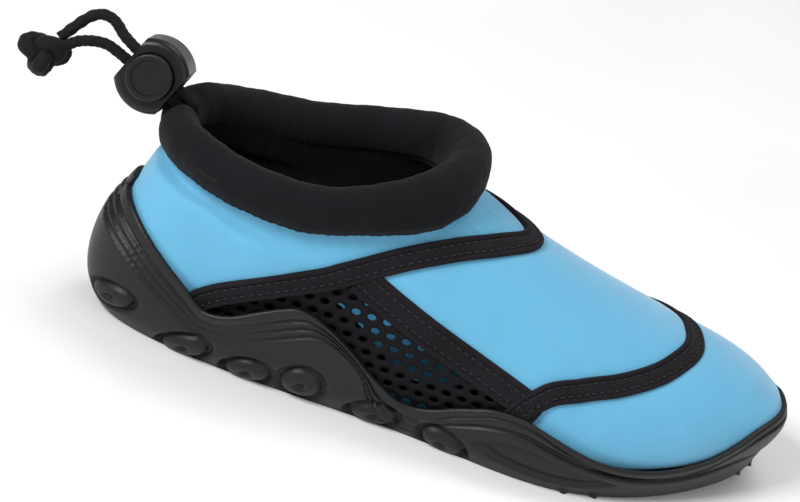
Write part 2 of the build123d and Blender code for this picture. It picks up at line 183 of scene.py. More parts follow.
def upper(u, h):
    """A point of the upper's outer surface, from the feather line (h = 0) to the collar (h = 1)."""
    u, h = np.broadcast_arrays(np.asarray(u, float), np.asarray(h, float))
    low = feather(u)
    low = low + UP * (FEATHER_Z + toe_spring(low[..., :1]))
    top = collar(u) - UP * COLLAR_TUCK
    out = level_normal(feather, u)
    turn = np.cos(u)[..., None]
    front = np.clip(turn, 0, 1)
    back = np.clip(-turn, 0, 1)
    side = 1 - front**2 - back**2
    first = low + out * (SIDE_BULGE * (side + back**2))
    first = first + UP * (SIDE_RISE * side + TOE_RISE * front**2 + HEEL_RISE * back**2)
    ridge = RIDGE_LENGTH * front**1.5
    fall = ridge * RIDGE_SLOPE + COLLAR_DROP * (1 - front)
    second = top + FORWARD * ridge - UP * fall + out * COLLAR_FLARE * (1 - front)
    h = h[..., None]
    g = 1 - h
    fullness = out * (TOE_FULLNESS * front**4 * FULLNESS_PEAK * h * g**4)
    return low * g**3 + first * (3 * g * g * h) + second * (3 * g * h * h) + top * h**3 + fullness


def upper_tangents(u, h):
    """How the upper's surface point moves with u and with h."""
    step = 1e-3
    low = np.clip(h - step, 0, 1)
    high = np.clip(h + step, 0, 1)
    along = (upper(u + step, h) - upper(u - step, h)) / (2 * step)
    return along, (upper(u, high) - upper(u, low)) / (high - low)[..., None]


def upper_normal(u, h):
    return unit(np.cross(*upper_tangents(u, h)))


MIDDLE_Y = np.mean([f(outline(2 * np.pi * np.arange(36) / 36)[:, 1]) for f in (np.max, np.min)])
TO_FRAME = np.array([LENGTH / 2, MIDDLE_Y, 0.0])


def in_frame(points):
    """Shoe millimetres to the frame's metres."""
    return (np.asarray(points, float) - TO_FRAME) / 1000


# ---- camera, at the photograph's viewing angle ----
AZIMUTH = math.radians(-11.6)
ELEVATION = math.radians(25.87)
ROLL = math.radians(21.47)
DISTANCE = 711.0
TARGET = np.array([80.1, 0.0, 39.2])
LENS = 118.4


def add_camera():
    across = np.array([math.cos(AZIMUTH), math.sin(AZIMUTH), 0])
    level = np.array([math.sin(AZIMUTH), -math.cos(AZIMUTH), 0]) * math.cos(ELEVATION)
    back = level + UP * math.sin(ELEVATION)
    rise = np.cross(back, across)
    right = across * math.cos(ROLL) + rise * math.sin(ROLL)
    up = np.cross(back, right)
    data = bpy.data.cameras.new("camera")
    data.lens = LENS
    data.sensor_width = 36
    data.clip_start = 0.01
    camera = bpy.data.objects.new("camera", data)
    bpy.context.collection.objects.link(camera)
    place = np.eye(4)
    place[:3, :3] = np.stack([right, up, back], 1)
    place[:3, 3] = in_frame(TARGET + back * DISTANCE)
    camera.matrix_world = Matrix(place.tolist())
    bpy.context.scene.camera = camera


add_camera()


# ---- materials ----
def node(tree, kind, inputs=None, **settings):
    """A shader node with its settings, and its inputs set to values or linked to sockets."""
    made = tree.nodes.new("ShaderNode" + kind)
    for key, value in settings.items():
        setattr(made, key, value)
    for key, value in (inputs or {}).items():
        socket = made.inputs[key]
        if isinstance(value, bpy.types.NodeSocket):
            tree.links.new(value, socket)
        else:
            socket.default_value = value
    return made


def math_node(tree, operation, first, second=0.0):
    return node(tree, "Math", {0: first, 1: second}, operation=operation).outputs[0]


def new_material(name, rough, **sockets):
    """A material, its tree, its shader and its coordinates in millimetres."""
    material = bpy.data.materials.new(name)
    material.use_nodes = True
    tree = material.node_tree
    shader = tree.nodes["Principled BSDF"]
    shader.inputs["Roughness"].default_value = rough
    for key, value in sockets.items():
        shader.inputs[key.replace("_", " ")].default_value = value
    place = node(tree, "TexCoord").outputs["Object"]
    mm = node(tree, "Mapping", {"Vector": place, "Scale": (1000, 1000, 1000)}).outputs[0]
    return material, tree, shader, mm


def noise(tree, mm, size, detail=3.0, rough=0.55):
    """Noise whose features are about size millimetres across."""
    inputs = {"Vector": mm, "Scale": 1 / size, "Detail": detail, "Roughness": rough}
    return node(tree, "TexNoise", inputs).outputs["Fac"]


def ramp(tree, factor, low, high, start=0.0, end=1.0):
    """Two colours mixed by a factor that runs from start to end."""
    made = node(tree, "ValToRGB", {"Fac": factor})
    for element, place, colour in zip(made.color_ramp.elements, (start, end), (low, high)):
        element.position = place
        element.color = (*colour, 1)
    return made.outputs["Color"]


def bump(tree, height, depth, strength=1.0, before=None):
    """A bump of that depth in millimetres, over an earlier one if given."""
    inputs = {"Height": height, "Distance": depth / 1000, "Strength": strength}
    if before is not None:
        inputs["Normal"] = before
    return node(tree, "Bump", inputs).outputs["Normal"]


def tint(colour, factor):
    return tuple(min(1.0, c * factor) for c in colour)


def knit_height(tree, wales, courses):
    """The height of a plain knit in UV space: rows of loops, each a pair of slanted lobes."""
    uv = node(tree, "TexCoord").outputs["UV"]
    split = node(tree, "SeparateXYZ", {0: uv})
    a = math_node(tree, "MULTIPLY", split.outputs[0], wales)
    b = math_node(tree, "MULTIPLY", split.outputs[1], courses)
    lean = math_node(tree, "ABSOLUTE", math_node(tree, "SUBTRACT", math_node(tree, "FRACT", a), 0.5))
    rows = math_node(tree, "SINE", math_node(tree, "MULTIPLY", math_node(tree, "ADD", b, lean), 2 * math.pi))
    ribs = math_node(tree, "SINE", math_node(tree, "MULTIPLY", a, 2 * math.pi))
    rows = math_node(tree, "MULTIPLY", rows, 0.6)
    return math_node(tree, "ADD", rows, math_node(tree, "MULTIPLY", ribs, 0.4))


def cloth_material(
    name, colour, rough=0.9, spread=0.10, grain=0.5, depth=0.12, sheen=0.0, knit=None, knit_depth=0.1,
    shine=0.07,
):
    """Fabric with uneven dye, a fine grain, and a knit or weave in UV space where given."""
    gloss = {"Sheen_Weight": sheen, "Sheen_Roughness": 0.45, "Specular_IOR_Level": shine}
    material, tree, shader, mm = new_material(name, rough, **gloss)
    wide = noise(tree, mm, 14.0, 2.0)
    fine = noise(tree, mm, grain, 2.0, 0.7)
    mixed = math_node(tree, "MULTIPLY", wide, 0.5)
    mixed = math_node(tree, "ADD", mixed, math_node(tree, "MULTIPLY", fine, 0.5))
    shade = ramp(tree, mixed, tint(colour, 1 - spread), tint(colour, 1 + spread), 0.3, 0.7)
    tree.links.new(shade, shader.inputs["Base Color"])
    normal = bump(tree, fine, depth)
    if knit:
        normal = bump(tree, knit_height(tree, *knit), knit_depth, 1.0, normal)
    tree.links.new(normal, shader.inputs["Normal"])
    return material


def rubber_material(name, colour):
    """Moulded rubber: dull, lightly textured and paler where it is rubbed."""
    material, tree, shader, mm = new_material(name, 0.45, Specular_IOR_Level=0.34)
    wide = noise(tree, mm, 9.0, 3.0)
    fine = noise(tree, mm, 0.55, 3.0, 0.7)
    shade = ramp(tree, wide, tint(colour, 0.88), tint(colour, 1.14), 0.3, 0.7)
    tree.links.new(shade, shader.inputs["Base Color"])
    rough = node(tree, "MapRange", {"Value": wide, "To Min": 0.36, "To Max": 0.52}).outputs[0]
    tree.links.new(rough, shader.inputs["Roughness"])
    tree.links.new(bump(tree, fine, 0.10), shader.inputs["Normal"])
    return material


def plastic_material(name, colour):
    """Moulded plastic with a fine spark-eroded grain."""
    material, tree, shader, mm = new_material(name, 0.33, Specular_IOR_Level=0.3)
    fine = noise(tree, mm, 0.3, 2.0, 0.6)
    shade = ramp(tree, noise(tree, mm, 5.0), tint(colour, 0.9), tint(colour, 1.1), 0.35, 0.65)
    tree.links.new(shade, shader.inputs["Base Color"])
    tree.links.new(bump(tree, fine, 0.05), shader.inputs["Normal"])
    return material


def steel_material(name):
    material, tree, shader, mm = new_material(name, 0.3, Metallic=1.0)
    shade = ramp(tree, noise(tree, mm, 0.8), (0.42, 0.42, 0.43), (0.62, 0.62, 0.63), 0.3, 0.7)
    tree.links.new(shade, shader.inputs["Base Color"])
    return material


BLUE = (0.105, 0.385, 0.60)
NEOPRENE = cloth_material("neoprene", BLUE, 0.62, 0.07, 0.45, 0.12, 0.35, shine=0.4)
TAPE = cloth_material("tape", (0.013, 0.011, 0.014), 0.75, 0.3, 0.4, 0.1, 0.03, (1.1, 1.3), 0.12)
NET = cloth_material("net", (0.008, 0.008, 0.010), 0.7, 0.2, 0.3, 0.08)
COLLAR_CLOTH = cloth_material(
    "collar_cloth", (0.008, 0.008, 0.010), 0.8, 0.3, 0.5, 0.10, 0.05, (1.9, 2.1), 0.05
)
LINING_CLOTH = cloth_material("lining_cloth", (0.006, 0.006, 0.007), 0.9, 0.25, 0.6, 0.12)
SOCK_CLOTH = cloth_material("sock_cloth", (0.4, 0.4, 0.41), 0.9, 0.1, 0.5, 0.1)
FOOTBED_CLOTH = cloth_material("footbed_cloth", (0.10, 0.48, 0.78), 0.85, 0.1, 0.6, 0.15)
THREAD = cloth_material("thread", (0.028, 0.026, 0.028), 0.6, 0.2, 0.2, 0.05)
CORD_CLOTH = cloth_material("cord_cloth", (0.010, 0.009, 0.011), 0.65, 0.35, 0.25, 0.08, 0.05)
RUBBER = rubber_material("rubber", (0.0066, 0.0062, 0.0072))
LOCK_PLASTIC = plastic_material("lock_plastic", (0.007, 0.007, 0.008))
SPRING_STEEL = steel_material("spring_steel")


# ---- mesh helpers ----
def grid_faces(rows, cols, closed=False, keep=None):
    """Quads of a grid of points, rows by cols, joined round to the first column if closed."""
    index = np.arange(rows * cols).reshape(rows, cols)
    across = np.roll(index, -1, 1) if closed else index[:, 1:]
    here = index if closed else index[:, :-1]
    quads = np.stack([here[:-1], across[:-1], across[1:], here[1:]], -1)
    return quads[keep] if keep is not None else quads.reshape(-1, 4)


def piece(name, points, faces, material, slot, body="shoe", replaces=(), uv=None):
    """A smooth mesh piece from points in shoe millimetres, riding on a body."""
    points = np.asarray(points, float).reshape(-1, 3)
    faces = np.asarray(faces)
    used, renumbered = np.unique(faces, return_inverse=True)
    faces = renumbered.reshape(faces.shape)
    mesh = bpy.data.meshes.new(name)
    mesh.from_pydata(in_frame(points[used]).tolist(), [], faces.tolist())
    if uv is not None:
        layer = mesh.uv_layers.new(name="uv")
        layer.data.foreach_set("uv", np.asarray(uv, float).reshape(-1, 2)[used][faces.ravel()].ravel())
    mesh.materials.append(material)
    mesh.shade_smooth()
    mesh.update()
    made = bpy.data.objects.new(name, mesh)
    bpy.context.collection.objects.link(made)
    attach(made, body)
    if replaces:
        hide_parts(*replaces)
    return made


def thicken(made, depth, offset=-1.0):
    """Gives a sheet of mesh a thickness in millimetres."""
    modifier = made.modifiers.new("thickness", "SOLIDIFY")
    modifier.thickness = depth / 1000
    modifier.offset = offset


def resample(points, step):
    """The points spread evenly along their line, about step apart, and how far along each lies."""
    run = np.r_[0, np.cumsum(np.linalg.norm(np.diff(points, axis=0), axis=1))]
    along = np.linspace(0, run[-1], max(2, int(round(run[-1] / step)) + 1))
    return np.stack([np.interp(along, run, points[:, k]) for k in range(points.shape[1])], 1), along


# ---- finding places on the upper ----
SEARCH_H = np.linspace(0, 1, 121)


def side_place(x, z, side):
    """The (u, h) whose surface point is at x and z in the side view, on the side given by its sign."""
    u, h = np.meshgrid(side * np.linspace(0.02, math.pi - 0.02, 240), SEARCH_H)
    table = upper(u, h)
    near = np.argmin((table[..., 0] - x) ** 2 + (table[..., 2] - z) ** 2)
    u = u.ravel()[near]
    h = h.ravel()[near]
    for _ in range(8):
        at = upper(u, h)
        along, rise = upper_tangents(np.array(u), np.array(h))
        turn = np.array([[along[0], rise[0]], [along[2], rise[2]]])
        move = np.linalg.lstsq(turn, np.array([x - at[0], z - at[2]]), rcond=None)[0]
        u = u + np.clip(move[0], -0.05, 0.05)
        h = float(np.clip(h + np.clip(move[1], -0.05, 0.05), 0, 1))
    return u, h


def ridge_place(x):
    """The h at which the ridge, u = 0, passes x."""
    h = np.linspace(0.05, 0.98, 400)
    reach = upper(0 * h, h)[:, 0]
    tip = np.argmax(reach)
    return float(np.interp(x, reach[tip:][::-1], h[tip:][::-1]))


def nearest_place(points, u, h, rounds=4):
    """The (u, h) of the surface points nearest the given points, from a first guess."""
    for _ in range(rounds):
        along, rise = upper_tangents(u, h)
        gap = points - upper(u, h)
        aa = (along * along).sum(-1)
        ar = (along * rise).sum(-1)
        rr = (rise * rise).sum(-1)
        ga = (gap * along).sum(-1)
        gr = (gap * rise).sum(-1)
        down = aa * rr - ar * ar
        u = u + (ga * rr - gr * ar) / down
        h = np.clip(h + (gr * aa - ga * ar) / down, 0, 1)
    return u, h


def through(knots, count):
    """A smooth line through the knots, which are rows of numbers."""
    knots = np.array(knots, float)
    run = np.r_[0, np.cumsum(np.linalg.norm(np.diff(knots, axis=0), axis=1))]
    t = np.linspace(0, run[-1], count)
    return np.stack([smooth(t, run, knots[:, k]) for k in range(knots.shape[1])], 1)


WARP = 0.8


def seam(line, side=None, apex=None):
    """A seam as evenly spaced (u, h) places: on one side, or over the ridge from one side to the other."""
    if apex is None:
        places = [side_place(x, z, side) for x, z in line]
    else:
        lateral = [side_place(x, z, -1) for x, z in line]
        medial = [side_place(x, z, 1) for x, z in line]
        places = lateral + [(0.0, ridge_place(apex))] + medial[::-1]
    at = [upper(u, h) for u, h in places]
    run = np.r_[0, np.cumsum(np.linalg.norm(np.diff(at, axis=0), axis=1))]
    t = np.linspace(0, run[-1], 500)
    warped = smooth(t, run, [signed_power(u, WARP) for u, h in places])
    h = smooth(t, run, [h for u, h in places])
    u = signed_power(warped, 1 / WARP)
    even, along = resample(np.column_stack([upper(u, h), u, h]), 0.8)
    return even[:, 3], even[:, 4], along


def strip(places, profile):
    """A band that follows a seam on the upper, with a profile of (across, height) pairs in millimetres."""
    u, h, along = places
    middle = upper(u, h)
    run = unit(np.gradient(middle, axis=0))
    across = np.cross(upper_normal(u, h), run)
    rows = []
    for offset, height in profile:
        a, b = nearest_place(middle + across * offset, u, h)
        rows.append(upper(a, b) + upper_normal(a, b) * height)
    offsets = [offset for offset, height in profile]
    uv = np.stack(np.meshgrid(along, offsets), -1)
    return np.array(rows), uv


def stitches(places, offset, height, pitch=2.4, size=1.6, thick=0.26):
    """Stitches along a seam: small rods with rounded ends, lying along it at that offset."""
    u, h, _ = places
    middle = upper(u, h)
    run = unit(np.gradient(middle, axis=0))
    normal = upper_normal(u, h)
    across = np.cross(normal, run)
    a, b = nearest_place(middle + across * offset, u, h)
    line = upper(a, b) + upper_normal(a, b) * height
    return rods(line, normal, pitch, size, thick)


def rods(line, normal, pitch, size, thick):
    """Points and faces of a row of stitches along a line."""
    run = np.r_[0, np.cumsum(np.linalg.norm(np.diff(line, axis=0), axis=1))]
    starts = np.arange(0.5 * pitch, run[-1] - 0.5 * pitch, pitch)
    centre = np.stack([np.interp(starts, run, line[:, k]) for k in range(3)], 1)
    tangent = unit(np.stack([np.interp(starts, run, np.gradient(line, axis=0)[:, k]) for k in range(3)], 1))
    lift = unit(np.stack([np.interp(starts, run, normal[:, k]) for k in range(3)], 1))
    side = np.cross(lift, tangent)
    ends = np.array([-0.5, -0.38, 0.0, 0.38, 0.5]) * size
    widths = np.array([0.15, 0.8, 1.0, 0.8, 0.15]) * thick
    sink = np.array([-0.25, -0.05, 0.0, -0.05, -0.25])
    turns = np.arange(8) * 2 * math.pi / 8
    rings = (
        centre[:, None, None] + tangent[:, None, None] * ends[:, None, None]
        + side[:, None, None] * (widths[:, None] * np.cos(turns))[..., None]
        + lift[:, None, None] * (sink[:, None] + widths[:, None] * np.sin(turns))[..., None]
    )
    quads = grid_faces(len(ends), len(turns), True)
    faces = quads[None] + (np.arange(len(starts)) * len(ends) * len(turns))[:, None, None]
    return rings.reshape(-1, 3), faces.reshape(-1, 4)


def gather(parts):
    """Several (points, faces) joined into one."""
    start = 0
    points = []
    faces = []
    for p, f in parts:
        points.append(p)
        faces.append(f + start)
        start += len(p)
    return np.concatenate(points), np.concatenate(faces)


UPPER_TRIM = seam(UPPER_SEAM, apex=UPPER_APEX)
VAMP_TRIM = seam(VAMP_SEAM, apex=VAMP_APEX)
SIDE_TRIMS = {name: seam(SIDE_SEAM, side) for name, side in (("lateral", -1), ("medial", 1))}


# ---- cords first: their routes are the CAD model's ----
LOCK_CENTRE = np.array([2.5, 3.3, 66.7])
LOCK_ALONG = unit(np.array([-0.893, 0.297, 0.338]))
LOCK_PRESS = unit(np.array([0.221, 0.943, -0.243]))
LOCK_ACROSS = np.cross(LOCK_PRESS, LOCK_ALONG)
STRAND_START = -7.0
KNOT_CENTRE = np.array([-26.5, 7.2, 62.0])
LOOP_ANGLES = [150, 126, 102, 78, 54, 28, 0, -28, -54, -78, -102, -126, -150]


def strand_point(along, side):
    return LOCK_CENTRE + LOCK_ALONG * along + LOCK_ACROSS * (side * CORD_SIDE)


UPPER_STRAND = [
    strand_point(STRAND_START, 1), strand_point(11.2, 1), (-10.9, 9.4, 76.0), (-15.3, 11.0, 75.9),
    (-19.2, 10.7, 72.4), (-23.4, 8.8, 66.6),
]
LOWER_STRAND = [
    strand_point(STRAND_START, -1), strand_point(12.4, -1), (-13.2, 7.0, 69.7), (-17.0, 6.9, 68.9),
    (-20.4, 6.6, 67.3), (-23.0, 5.6, 64.2),
]
LOOP = [
    strand_point(STRAND_START, 1), strand_point(-13.5, 1), (15.2, 5.0, 58.2),
    *[collar(np.radians(a)) for a in LOOP_ANGLES],
    (14.6, -5.6, 57.4), strand_point(-12.5, -1), strand_point(STRAND_START, -1),
]


def route_line(points, name):
    """The smooth line of a cord: a NURBS spline whose control points are the route's."""
    curve = bpy.data.curves.new(name, "CURVE")
    curve.dimensions = "3D"
    curve.resolution_u = 24
    spline = curve.splines.new("NURBS")
    spline.points.add(len(points) - 1)
    for point, place in zip(spline.points, points):
        point.co = (*in_frame(place), 1)
    spline.order_u = 3
    spline.use_endpoint_u = True
    carrier = bpy.data.objects.new(name, curve)
    bpy.context.collection.objects.link(carrier)
    bpy.context.view_layer.update()
    line = bpy.data.meshes.new_from_object(carrier)
    path = np.array([v.co[:] for v in line.vertices]) * 1000 + TO_FRAME
    bpy.data.objects.remove(carrier)
    return path


def frames(path):
    """Two directions across a path at each of its points, carried along it without twisting."""
    run = unit(np.gradient(path, axis=0))
    side = unit(np.cross(run[0], UP + 0.1 * FORWARD))
    sides = []
    for t in run:
        side = unit(side - t * (side @ t))
        sides.append(side)
    sides = np.array(sides)
    return sides, np.cross(run, sides)


def braid(along, turn, pitch=3.4, pairs=4):
    """The height of a round braid, from 0 to 1: slanted plaits that pass over and under each other."""
    a = pairs * turn + 2 * math.pi * along / pitch
    b = pairs * turn - 2 * math.pi * along / pitch
    over = np.sin((a + b) / 2) * np.sin((a - b) / 2) > 0
    return np.where(over, np.abs(np.cos(a / 2)), np.abs(np.cos(b / 2)))


BRAID_DEPTH = 0.28


def braided(path, radius, step=0.3, sides=24, depth=BRAID_DEPTH):
    """A braided tube along a path, closed at its ends."""
    line, along = resample(path, step)
    first, second = frames(line)
    turn = 2 * math.pi * np.arange(sides) / sides
    grown = radius - depth + depth * braid(along[:, None], turn[None])
    grown = np.vstack([grown[:1] * 0.02, grown[:1] * 0.8, grown, grown[-1:] * 0.8, grown[-1:] * 0.02])
    tilt = [0, 0, *range(len(line)), -1, -1]
    level = np.cos(turn)[None, :, None] * first[tilt][:, None]
    ring = level + np.sin(turn)[None, :, None] * second[tilt][:, None]
    points = line[tilt][:, None] + ring * grown[..., None]
    return points.reshape(-1, 3), grid_faces(len(tilt), sides, True)


def knot_paths():
    """The doubled cord of an overhand knot drawn up tight: two turns side by side that fill its ball."""
    t = np.linspace(0, 2 * math.pi, 260)
    lean = np.array(Matrix.Rotation(math.radians(64), 3, "X") @ Matrix.Rotation(math.radians(-22), 3, "Y"))
    paths = []
    for shift, size in ((-1.6, 1.9), (1.6, 1.8)):
        loop = np.stack([np.sin(t) + 1.7 * np.sin(2 * t), np.cos(t) - 1.7 * np.cos(2 * t), -np.sin(3 * t)], 1)
        loop = loop * (size, size * 0.84, 1.9) + (0, 0, shift)
        paths.append(KNOT_CENTRE + loop @ lean.T)
    return paths


KNOT_CORD = 2.15
PROUD = 0.1


def add_cords():
    turns = gather([braided(p, KNOT_CORD, 0.35, 24) for p in knot_paths()])
    knot = piece("knot", *turns, CORD_CLOTH, "cord", replaces=["cord_knot"])
    for name, route, mates in (("upper", UPPER_STRAND, [knot]), ("lower", LOWER_STRAND, [])):
        path = route_line(route, name + "_route")
        points, faces = braided(path, CORD / 2 + PROUD)
        cord = piece(name + "_strand", points, faces, CORD_CLOTH, "cord", replaces=[f"cord_{name}_strand"])
    points, faces = braided(route_line(LOOP, "loop_route"), CORD / 2, 0.5, 16)
    piece("drawcord", points, faces, CORD_CLOTH, "cord", replaces=["drawcord_loop"])


add_cords()


# ---- neoprene, tapes and net ----
COLUMNS = 800
ROWS = 120
U_GRID = np.linspace(-math.pi, math.pi, COLUMNS, endpoint=False)
CREASE = [(12.5, 46.9), (18, 46.2), (24, 46.2), (28, 45.4), (34, 44.2), (41, 43.7), (50, 43.0)]


def seam_points():
    return np.concatenate([upper(t[0], t[1]) for t in (UPPER_TRIM, VAMP_TRIM, *SIDE_TRIMS.values())])


def distance_to(points, line):
    """How far each point is from the nearest point of a line."""
    flat = points.reshape(-1, 3)
    parts = [np.sqrt(((c[:, None] - line[None]) ** 2).sum(-1).min(1)) for c in np.array_split(flat, 60)]
    return np.concatenate(parts).reshape(points.shape[:-1])


def side_of(line, apex, x, z):
    """Above 0 in front of a seam's side view, below 0 behind it."""
    ends = np.array(line + [(apex, on_ridge(apex)), (apex, 200)])
    t = through(ends, 400)
    gap = (x[..., None] - t[:, 0]) ** 2 + (z[..., None] - t[:, 1]) ** 2
    i = np.clip(gap.argmin(-1), 1, len(t) - 2)
    run = t[i + 1] - t[i - 1]
    return run[..., 1] * (x - t[i, 0]) - run[..., 0] * (z - t[i, 1])


def on_ridge(x):
    return float(upper(0.0, ridge_place(x))[2])


SEAM_PRESS = 0.7
TOE_SWELL = 1.2


def skin_relief(at, u, h):
    """How far the neoprene stands off its plain surface: pressed in at seams, rim and collar, and creased."""
    x, _, z = np.moveaxis(at, -1, 0)
    relief = -SEAM_PRESS * np.exp(-((distance_to(at, seam_points()) / 4.0) ** 2))
    over_rim = np.clip(z - rim_height(x, u), 0, None)
    press = 0.45 - 0.95 * np.clip(np.cos(u), 0, 1) ** 3
    relief -= press * np.exp(-((over_rim / 1.8) ** 2))
    relief += TOE_SWELL * np.exp(-(((h - 0.30) / 0.17) ** 2)) * np.clip(np.cos(u), 0, 1) ** 6
    under_collar = 1 - h
    ruffle = 0.10 * np.sin(u * 61 + 1.6 * np.sin(u * 9)) + 0.07 * np.sin(u * 37 + 1)
    relief += ruffle * np.exp(-((under_collar - 0.07) / 0.035) ** 2)
    fade = np.exp(-(np.clip(x - 36, 0, None) / 12) ** 2) * np.exp(-(np.clip(14 - x, 0, None) / 6) ** 2)
    over_crease = z - on_line(x, CREASE)
    relief += fade * (1.4 - 3.2 / (1 + np.exp(-over_crease / 0.7))) * np.exp(-((over_crease / 9.0) ** 2))
    return relief


def skin_grid():
    """Points of the upper's surface, in rows from the feather line to the collar."""
    u, h = np.meshgrid(U_GRID, np.linspace(0, 1, ROWS))
    return u, h, upper(u, h)


def cell_middles(points):
    """The middle of each cell of a grid that is closed round."""
    return (points[:-1] + points[1:] + np.roll(points, -1, 1)[:-1] + np.roll(points, -1, 1)[1:]) / 4


def zones(middles):
    """Which panel each cell belongs to."""
    x, _, z = np.moveaxis(middles, -1, 0)
    quarter = side_of(UPPER_SEAM, UPPER_APEX, x, z) < 0
    toe = side_of(VAMP_SEAM, VAMP_APEX, x, z) > 0
    under = z < np.interp(x, *np.array(SIDE_SEAM).T)
    net = under & ~quarter & ~toe & (x > 20) & (x < 124)
    return {"quarter": quarter & ~net, "toe": toe & ~quarter, "vamp": ~quarter & ~toe & ~net, "net": net}


SKIN_THICK = 1.6
LINING_THICK = 0.5
LINING_DEPTH = 3.4
RIM_TUCK = 5


def add_panels():
    u, h, plain = skin_grid()
    normal = upper_normal(u, h)
    points = plain + normal * skin_relief(plain, u, h)[..., None]
    middles = cell_middles(plain)
    seen = middles[..., 2] > rim_height(middles[..., 0], u[:-1]) - RIM_TUCK
    for name, zone in zones(middles).items():
        if name != "net":
            faces = grid_faces(ROWS, COLUMNS, True, zone & seen)
            made = piece(name + "_skin", points, faces, NEOPRENE, "neoprene", replaces=[name + "_panel"])
            thicken(made, SKIN_THICK)


def add_lining():
    """The knit lining, open in a window behind the net."""
    u, h, plain = skin_grid()
    inward = LINING_DEPTH - np.minimum(skin_relief(plain, u, h), 0)
    into_roll = 3.2 * np.clip((h - 0.9) / 0.1, 0, 1) ** 2
    points = plain - upper_normal(u, h) * inward[..., None] + UP * into_roll[..., None]
    middles = cell_middles(plain)
    x, z = middles[..., 0], middles[..., 2]
    zone = zones(middles)["net"] & (x > 60) & (x < 119) & (z > on_line(x, RIM_LINE) + 4.5)
    uv = np.stack([u * 40, h * 50], -1)
    faces = grid_faces(ROWS, COLUMNS, True, ~zone)[:, ::-1]
    made = piece("lining_knit", points, faces, LINING_CLOTH, "lining", replaces=["lining"], uv=uv)
    thicken(made, LINING_THICK, 1.0)


TAPE_PROFILE = [
    (-3.2, -1.2), (-3.25, -0.3), (-3.15, 0.3), (-2.85, 0.68), (-2.45, 0.78), (-2.05, 0.62), (-1.8, 0.22),
    (-1.55, 0.25), (-1.2, 0.44), (-0.6, 0.5), (0, 0.52), (0.6, 0.5), (1.2, 0.44), (1.55, 0.25), (1.8, 0.22),
    (2.05, 0.62), (2.45, 0.78), (2.85, 0.68), (3.15, 0.3), (3.25, -0.3), (3.2, -1.2),
]


def tape(name, places, node_name, wide=1.0, lift=0.0):
    """A tape with raised edges along a seam, widened and lifted as asked."""
    points, uv = strip(places, [(a * wide, b + lift) for a, b in TAPE_PROFILE])
    faces = grid_faces(*points.shape[:2])[:, ::-1]
    piece(name, points, faces, TAPE, "trim", replaces=[node_name], uv=uv)


STITCH_OUT = 1.35
SIDE_STITCH_OUT = 1.76
SIDE_TAPE_WIDE = 1.3


def add_tapes():
    tape("upper_tape", UPPER_TRIM, "trim_upper", lift=0.25)
    tape("vamp_tape", VAMP_TRIM, "trim_vamp", lift=0.12)
    for side, places in SIDE_TRIMS.items():
        tape(f"side_tape_{side}", places, f"trim_side_{side}", SIDE_TAPE_WIDE)
    rows = []
    for places, out, lift in (
        (UPPER_TRIM, STITCH_OUT, 0.68), (VAMP_TRIM, STITCH_OUT, 0.56),
        *[(places, SIDE_STITCH_OUT, 0.44) for places in SIDE_TRIMS.values()],
    ):
        rows += [stitches(places, -out, lift), stitches(places, out, lift)]
    piece("tape_stitches", *gather(rows), THREAD, "trim")


NET_PITCH = 4.3
NET_ROW = 3.7
NET_HOLE = (1.1, 0.8)
NET_ACROSS = 30
NET_DOWN = 16
NET_START = (24, 7)
NET_SIDES = 12
NET_THICK = 0.55
NET_WELD = 0.12


def net_cell(cx, cz):
    """Side-view points of one cell of the net: a hexagon's edge, then the round hole in it."""
    turn = np.arange(NET_SIDES) * math.pi / 6 + math.pi / 6
    reach = NET_PITCH / 2 / np.cos((turn + math.pi / 6) % (math.pi / 3) - math.pi / 6)
    squeeze = NET_ROW / (NET_PITCH * math.sqrt(3) / 2)
    edge = np.stack([cx + reach * np.cos(turn), cz + reach * squeeze * np.sin(turn)], 1)
    hole = np.stack([cx + NET_HOLE[0] * np.cos(turn), cz + NET_HOLE[1] * np.sin(turn)], 1)
    return edge, hole


def side_places(x, z, side):
    """side_place for many points at once."""
    u, h = np.meshgrid(side * np.linspace(0.4, math.pi - 0.1, 300), SEARCH_H)
    table = upper(u, h).reshape(-1, 3)
    near = np.concatenate([
        ((table[None, :, 0] - a[:, None]) ** 2 + (table[None, :, 2] - b[:, None]) ** 2).argmin(1)
        for a, b in zip(np.array_split(x, 40), np.array_split(z, 40))
    ])
    u = u.ravel()[near]
    h = h.ravel()[near]
    for _ in range(5):
        at = upper(u, h)
        along, rise = upper_tangents(u, h)
        down = along[:, 0] * rise[:, 2] - along[:, 2] * rise[:, 0]
        gx = x - at[:, 0]
        gz = z - at[:, 2]
        u = u + np.clip((gx * rise[:, 2] - gz * rise[:, 0]) / down, -0.03, 0.03)
        h = np.clip(h + np.clip((gz * along[:, 0] - gx * along[:, 2]) / down, -0.03, 0.03), 0, 1)
    return u, h


